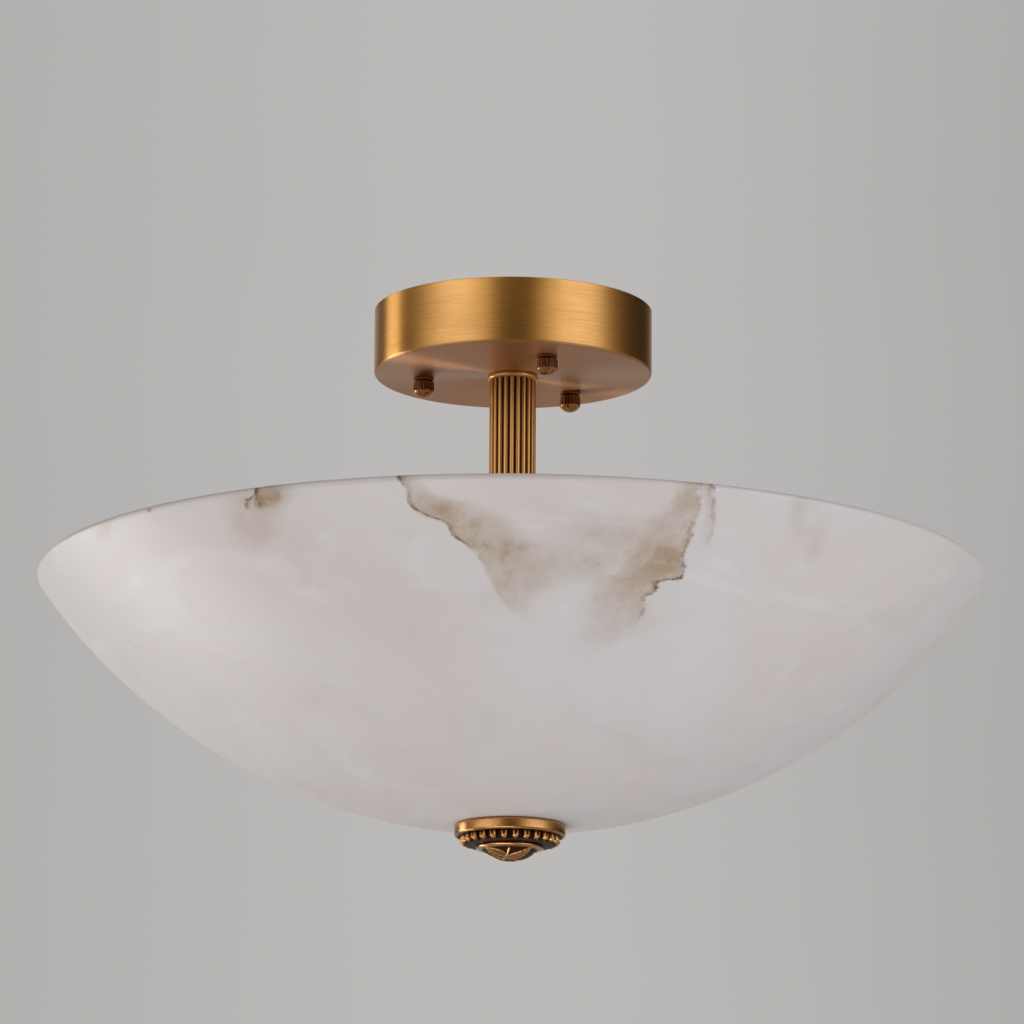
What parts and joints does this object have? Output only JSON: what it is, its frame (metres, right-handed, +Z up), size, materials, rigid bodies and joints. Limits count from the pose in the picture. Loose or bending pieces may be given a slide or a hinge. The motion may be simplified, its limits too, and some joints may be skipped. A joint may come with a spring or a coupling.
{
  "type": "semi-flush ceiling light",
  "caption": "Shallow veined alabaster bowl held under a round brass canopy by a short reeded stem and a gadrooned finial.",
  "frame": {"origin": "centre of the ceiling plate's top face, on the ceiling plane", "axes": "+Z up out of the ceiling, the light hangs along -Z; +X along the two ceiling slots; -Y towards the viewer"},
  "size_m": [0.4999, 0.5, 0.2965],
  "materials": {
    "aged_brass": "brushed, lacquered",
    "antique_brass": "cast, darkened in the recesses",
    "plain_brass": "satin",
    "zinc_steel": "zinc plated",
    "terminal_plastic": "matte",
    "porcelain": "glazed",
    "lamp_cap_metal": "bright",
    "lamp_opal": "opal, satin",
    "alabaster": "honed, translucent, with brown veins",
    "black_rubber": "matte"
  },
  "bodies": {
    "fixture": {"ceiling_plate": "zinc_steel", "plate_studs": "zinc_steel", "earth_screw": "plain_brass", "terminal_block": "terminal_plastic", "canopy": "aged_brass", "canopy_nuts": "aged_brass", "stem_ring": "aged_brass", "stem": "aged_brass", "centre_tube": "zinc_steel", "rod_nuts": "zinc_steel", "rod_washers": "zinc_steel", "cluster_body": "plain_brass", "cluster_cover": "plain_brass", "holder_nipples": "zinc_steel", "stop_disc": "zinc_steel", "lampholder_1": "porcelain", "screw_shell_1": "plain_brass", "centre_contact_1": "plain_brass", "lampholder_2": "porcelain", "screw_shell_2": "plain_brass", "centre_contact_2": "plain_brass", "lampholder_3": "porcelain", "screw_shell_3": "plain_brass", "centre_contact_3": "plain_brass"},
    "bowl": {"bowl": "alabaster", "upper_gasket": "black_rubber", "lower_gasket": "black_rubber"},
    "finial": {"finial": "antique_brass"},
    "lamp_1": {"lamp_cap_1": "lamp_cap_metal", "lamp_globe_1": "lamp_opal"},
    "lamp_2": {"lamp_cap_2": "lamp_cap_metal", "lamp_globe_2": "lamp_opal"},
    "lamp_3": {"lamp_cap_3": "lamp_cap_metal", "lamp_globe_3": "lamp_opal"}
  },
  "joints": [
    {"name": "finial_turn", "type": "hinge", "parent": "bowl", "child": "finial", "pos_m": [0, 0, -0.285], "axis": [0, 0, -1], "range_deg": [0, 4320]},
    {"name": "bowl_lower", "type": "slide", "parent": "fixture", "child": "bowl", "axis": [0, 0, -1], "range_m": [0, 0.012]},
    {"name": "lamp_1_out", "type": "slide", "parent": "fixture", "child": "lamp_1", "axis": [0, 0.9986, 0.0523], "range_m": [0, 0.03]},
    {"name": "lamp_2_out", "type": "slide", "parent": "fixture", "child": "lamp_2", "axis": [-0.8648, -0.4993, 0.0523], "range_m": [0, 0.03]},
    {"name": "lamp_3_out", "type": "slide", "parent": "fixture", "child": "lamp_3", "axis": [0.8648, -0.4993, 0.0523], "range_m": [0, 0.03]}
  ],
  "couplings": [
    {"joint": "finial_turn", "follows": "bowl_lower", "rad_per_m": 6283.2}
  ]
}
